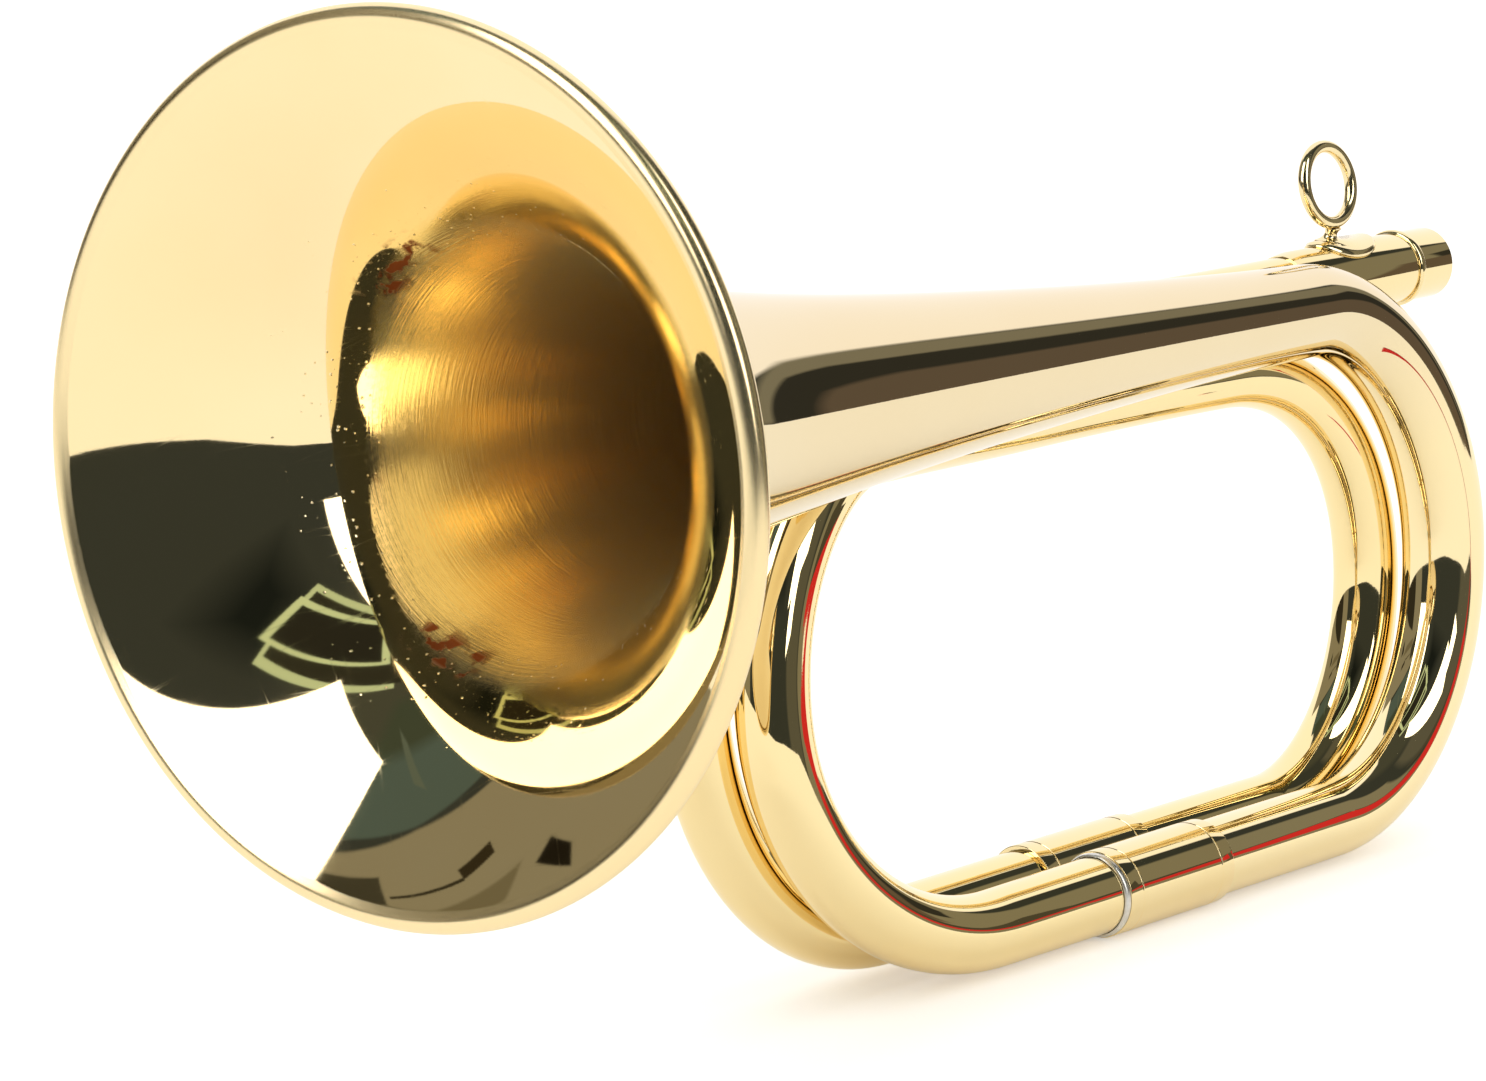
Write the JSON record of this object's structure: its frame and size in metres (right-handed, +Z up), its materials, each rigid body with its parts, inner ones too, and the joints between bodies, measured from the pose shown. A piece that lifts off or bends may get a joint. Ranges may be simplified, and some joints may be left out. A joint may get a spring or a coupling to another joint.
{
  "type": "bugle",
  "caption": "Folded brass bugle: a looped tube from a mouthpiece receiver to a wide flared bell, with ferrules over its joints and a lanyard ring on a saddle.",
  "frame": {"origin": "middle of the bounding box's base, on the plane that the two lowest tubes stand on", "axes": "+X runs along the tubes from the bell to the mouthpiece receiver, +Y across the loops to the receiver's side, +Z up"},
  "size_m": [0.2824, 0.1196, 0.1576],
  "materials": {
    "bell_brass": "mirror-polished yellow brass outside and on the flare, satin spun brass deep in the bell",
    "tube_brass": "mirror-polished yellow brass tube",
    "ferrule_brass": "polished turned brass",
    "receiver_brass": "polished turned brass",
    "fitting_brass": "polished cast and drawn brass",
    "rim_wire_steel": "plain drawn wire, hidden in the rim",
    "soft_solder": "wiped soft solder"
  },
  "bodies": {
    "root": {"bell_flare": "bell_brass", "rim_wire": "rim_wire_steel", "bell_branch": "bell_brass", "near_ferrule": "ferrule_brass", "near_ferrule_solder": "soft_solder", "middle_branch": "tube_brass", "far_ferrule": "ferrule_brass", "mouthpipe": "tube_brass", "mouthpiece_receiver": "receiver_brass", "receiver_ring": "receiver_brass", "lanyard_saddle": "fitting_brass", "lanyard_ring": "fitting_brass", "top_solder": "soft_solder", "middle_solder": "soft_solder", "ferrule_solder": "soft_solder"}
  },
  "joints": []
}
